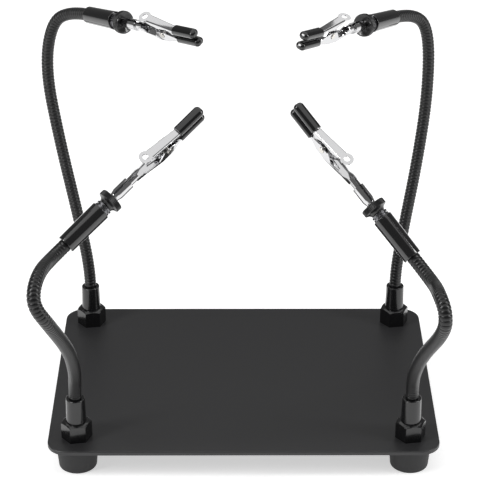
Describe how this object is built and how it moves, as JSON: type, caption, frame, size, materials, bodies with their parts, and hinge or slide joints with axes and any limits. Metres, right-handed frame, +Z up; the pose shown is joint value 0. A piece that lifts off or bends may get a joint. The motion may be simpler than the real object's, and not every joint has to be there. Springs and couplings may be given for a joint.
{
  "type": "pcb holder vise",
  "caption": "Flat steel base on rubber feet with bendable gooseneck arms, each ending in a swivelling crocodile clip that grips the edge of a circuit board.",
  "frame": {"origin": "on the bench, under the centre of the base plate, midway between the feet", "axes": "+X to the right, +Y to the back (away from the user), +Z up; the feet stand on Z = 0"},
  "size_m": [0.2025, 0.2227, 0.207],
  "materials": {
    "black_plate": "satin black powder coat",
    "rubber_foot": "matt black rubber",
    "zinc_screw": "zinc plated",
    "black_nut": "gloss black plating",
    "black_ferrule": "gloss black plating",
    "black_gooseneck": "semi-gloss black coated coil",
    "black_sleeve": "gloss black",
    "bright_stem": "turned, dark plated",
    "dark_nut": "matt dark plating",
    "nickel_clip": "bright nickel plate",
    "nickel_pin": "bright nickel plate",
    "spring_steel": "drawn wire",
    "soft_cover": "gloss black soft vinyl"
  },
  "bodies": {
    "base": {"base_plate": "black_plate", "front_left_foot": "rubber_foot", "front_right_foot": "rubber_foot", "back_left_foot": "rubber_foot", "back_right_foot": "rubber_foot", "foot_screws": "zinc_screw", "foot_washers": "zinc_screw", "front_left_base_nut": "black_nut", "front_left_ferrule": "black_ferrule", "front_right_base_nut": "black_nut", "front_right_ferrule": "black_ferrule", "back_left_base_nut": "black_nut", "back_left_ferrule": "black_ferrule", "back_right_base_nut": "black_nut", "back_right_ferrule": "black_ferrule"},
    "front_left_lower": {"front_left_gooseneck_lower": "black_gooseneck"},
    "front_left_upper": {"front_left_gooseneck_upper": "black_gooseneck"},
    "front_left_head": {"front_left_head_sleeve": "black_sleeve", "front_left_swivel_stem": "bright_stem"},
    "front_left_clip": {"front_left_knurled_nut": "dark_nut", "front_left_clip_body": "nickel_clip", "front_left_pivot_pin": "nickel_pin", "front_left_jaw_spring": "spring_steel", "front_left_lower_cover": "soft_cover"},
    "front_left_jaw": {"front_left_clip_lever": "nickel_clip", "front_left_upper_cover": "soft_cover"},
    "front_right_lower": {"front_right_gooseneck_lower": "black_gooseneck"},
    "front_right_upper": {"front_right_gooseneck_upper": "black_gooseneck"},
    "front_right_head": {"front_right_head_sleeve": "black_sleeve", "front_right_swivel_stem": "bright_stem"},
    "front_right_clip": {"front_right_knurled_nut": "dark_nut", "front_right_clip_body": "nickel_clip", "front_right_pivot_pin": "nickel_pin", "front_right_jaw_spring": "spring_steel", "front_right_lower_cover": "soft_cover"},
    "front_right_jaw": {"front_right_clip_lever": "nickel_clip", "front_right_upper_cover": "soft_cover"},
    "back_left_lower": {"back_left_gooseneck_lower": "black_gooseneck"},
    "back_left_upper": {"back_left_gooseneck_upper": "black_gooseneck"},
    "back_left_head": {"back_left_head_sleeve": "black_sleeve", "back_left_swivel_stem": "bright_stem"},
    "back_left_clip": {"back_left_knurled_nut": "dark_nut", "back_left_clip_body": "nickel_clip", "back_left_pivot_pin": "nickel_pin", "back_left_jaw_spring": "spring_steel", "back_left_lower_cover": "soft_cover"},
    "back_left_jaw": {"back_left_clip_lever": "nickel_clip", "back_left_upper_cover": "soft_cover"},
    "back_right_lower": {"back_right_gooseneck_lower": "black_gooseneck"},
    "back_right_upper": {"back_right_gooseneck_upper": "black_gooseneck"},
    "back_right_head": {"back_right_head_sleeve": "black_sleeve", "back_right_swivel_stem": "bright_stem"},
    "back_right_clip": {"back_right_knurled_nut": "dark_nut", "back_right_clip_body": "nickel_clip", "back_right_pivot_pin": "nickel_pin", "back_right_jaw_spring": "spring_steel", "back_right_lower_cover": "soft_cover"},
    "back_right_jaw": {"back_right_clip_lever": "nickel_clip", "back_right_upper_cover": "soft_cover"}
  },
  "joints": [
    {"name": "front_left_base_bend", "type": "hinge", "parent": "base", "child": "front_left_lower", "pos_m": [-0.081, -0.056, 0.0399], "axis": [0.5687, -0.8226, 0], "range_deg": [-5, 25]},
    {"name": "front_left_mid_bend", "type": "hinge", "parent": "front_left_lower", "child": "front_left_upper", "pos_m": [-0.081, -0.116, 0.10625], "axis": [-0.988, 0.1544, 0], "range_deg": [-20, 20]},
    {"name": "front_left_head_bend", "type": "hinge", "parent": "front_left_upper", "child": "front_left_head", "pos_m": [-0.07962, -0.09735, 0.14111], "axis": [0.7163, -0.5622, -0.4134], "range_deg": [-25, 25]},
    {"name": "front_left_clip_spin", "type": "hinge", "parent": "front_left_head", "child": "front_left_clip", "pos_m": [-0.06307, -0.08544, 0.15359], "axis": [0.6923, 0.498, 0.5223], "continuous": true},
    {"name": "front_left_jaw", "type": "hinge", "parent": "front_left_clip", "child": "front_left_jaw", "pos_m": [-0.03515, -0.06572, 0.17514], "axis": [0.7163, -0.5622, -0.4134], "range_deg": [-3, 20], "stiffness_Nm_per_rad": 0.02, "springref_deg": -28.65, "deforming": ["front_left_jaw_spring"]},
    {"name": "front_right_base_bend", "type": "hinge", "parent": "base", "child": "front_right_lower", "pos_m": [0.081, -0.056, 0.0399], "axis": [0.5687, 0.8226, 0], "range_deg": [-5, 25]},
    {"name": "front_right_mid_bend", "type": "hinge", "parent": "front_right_lower", "child": "front_right_upper", "pos_m": [0.08325, -0.115, 0.1025], "axis": [-0.9927, -0.1207, 0], "range_deg": [-20, 20]},
    {"name": "front_right_head_bend", "type": "hinge", "parent": "front_right_upper", "child": "front_right_head", "pos_m": [0.07554, -0.09555, 0.13372], "axis": [0.7564, 0.6076, 0.242], "range_deg": [-25, 25]},
    {"name": "front_right_clip_spin", "type": "hinge", "parent": "front_right_head", "child": "front_right_clip", "pos_m": [0.06116, -0.08357, 0.14858], "axis": [-0.6017, 0.5014, 0.6217], "continuous": true},
    {"name": "front_right_jaw", "type": "hinge", "parent": "front_right_clip", "child": "front_right_jaw", "pos_m": [0.03701, -0.06368, 0.17414], "axis": [0.7564, 0.6076, 0.242], "range_deg": [-3, 20], "stiffness_Nm_per_rad": 0.02, "springref_deg": -28.65, "deforming": ["front_right_jaw_spring"]},
    {"name": "back_left_base_bend", "type": "hinge", "parent": "base", "child": "back_left_lower", "pos_m": [-0.081, 0.056, 0.0399], "axis": [-0.5687, -0.8226, 0], "range_deg": [-5, 25]},
    {"name": "back_left_mid_bend", "type": "hinge", "parent": "back_left_lower", "child": "back_left_upper", "pos_m": [-0.09825, 0.07225, 0.1355], "axis": [0.7557, 0.6549, 0], "range_deg": [-20, 20]},
    {"name": "back_left_head_bend", "type": "hinge", "parent": "back_left_upper", "child": "back_left_head", "pos_m": [-0.07773, 0.06062, 0.18951], "axis": [-0.6065, -0.6228, -0.4943], "range_deg": [-25, 25]},
    {"name": "back_left_clip_spin", "type": "hinge", "parent": "back_left_head", "child": "back_left_clip", "pos_m": [-0.0623, 0.04273, 0.19312], "axis": [0.6456, -0.7486, 0.1511], "continuous": true},
    {"name": "back_left_jaw", "type": "hinge", "parent": "back_left_clip", "child": "back_left_jaw", "pos_m": [-0.03649, 0.01235, 0.19974], "axis": [-0.6065, -0.6228, -0.4943], "range_deg": [-3, 20], "stiffness_Nm_per_rad": 0.02, "springref_deg": -28.65, "deforming": ["back_left_jaw_spring"]},
    {"name": "back_right_base_bend", "type": "hinge", "parent": "base", "child": "back_right_lower", "pos_m": [0.081, 0.056, 0.0399], "axis": [-0.5687, 0.8226, 0], "range_deg": [-5, 25]},
    {"name": "back_right_mid_bend", "type": "hinge", "parent": "back_right_lower", "child": "back_right_upper", "pos_m": [0.0935, 0.074, 0.1215], "axis": [0.8944, -0.4472, 0], "range_deg": [-20, 20]},
    {"name": "back_right_head_bend", "type": "hinge", "parent": "back_right_upper", "child": "back_right_head", "pos_m": [0.07587, 0.06274, 0.18707], "axis": [-0.7728, 0.5882, 0.2382], "range_deg": [-25, 25]},
    {"name": "back_right_clip_spin", "type": "hinge", "parent": "back_right_head", "child": "back_right_clip", "pos_m": [0.06244, 0.04341, 0.19124], "axis": [-0.5618, -0.8087, 0.1743], "continuous": true},
    {"name": "back_right_jaw", "type": "hinge", "parent": "back_right_clip", "child": "back_right_jaw", "pos_m": [0.03992, 0.01074, 0.19885], "axis": [-0.7728, 0.5882, 0.2382], "range_deg": [-3, 20], "stiffness_Nm_per_rad": 0.02, "springref_deg": -28.65, "deforming": ["back_right_jaw_spring"]}
  ]
}
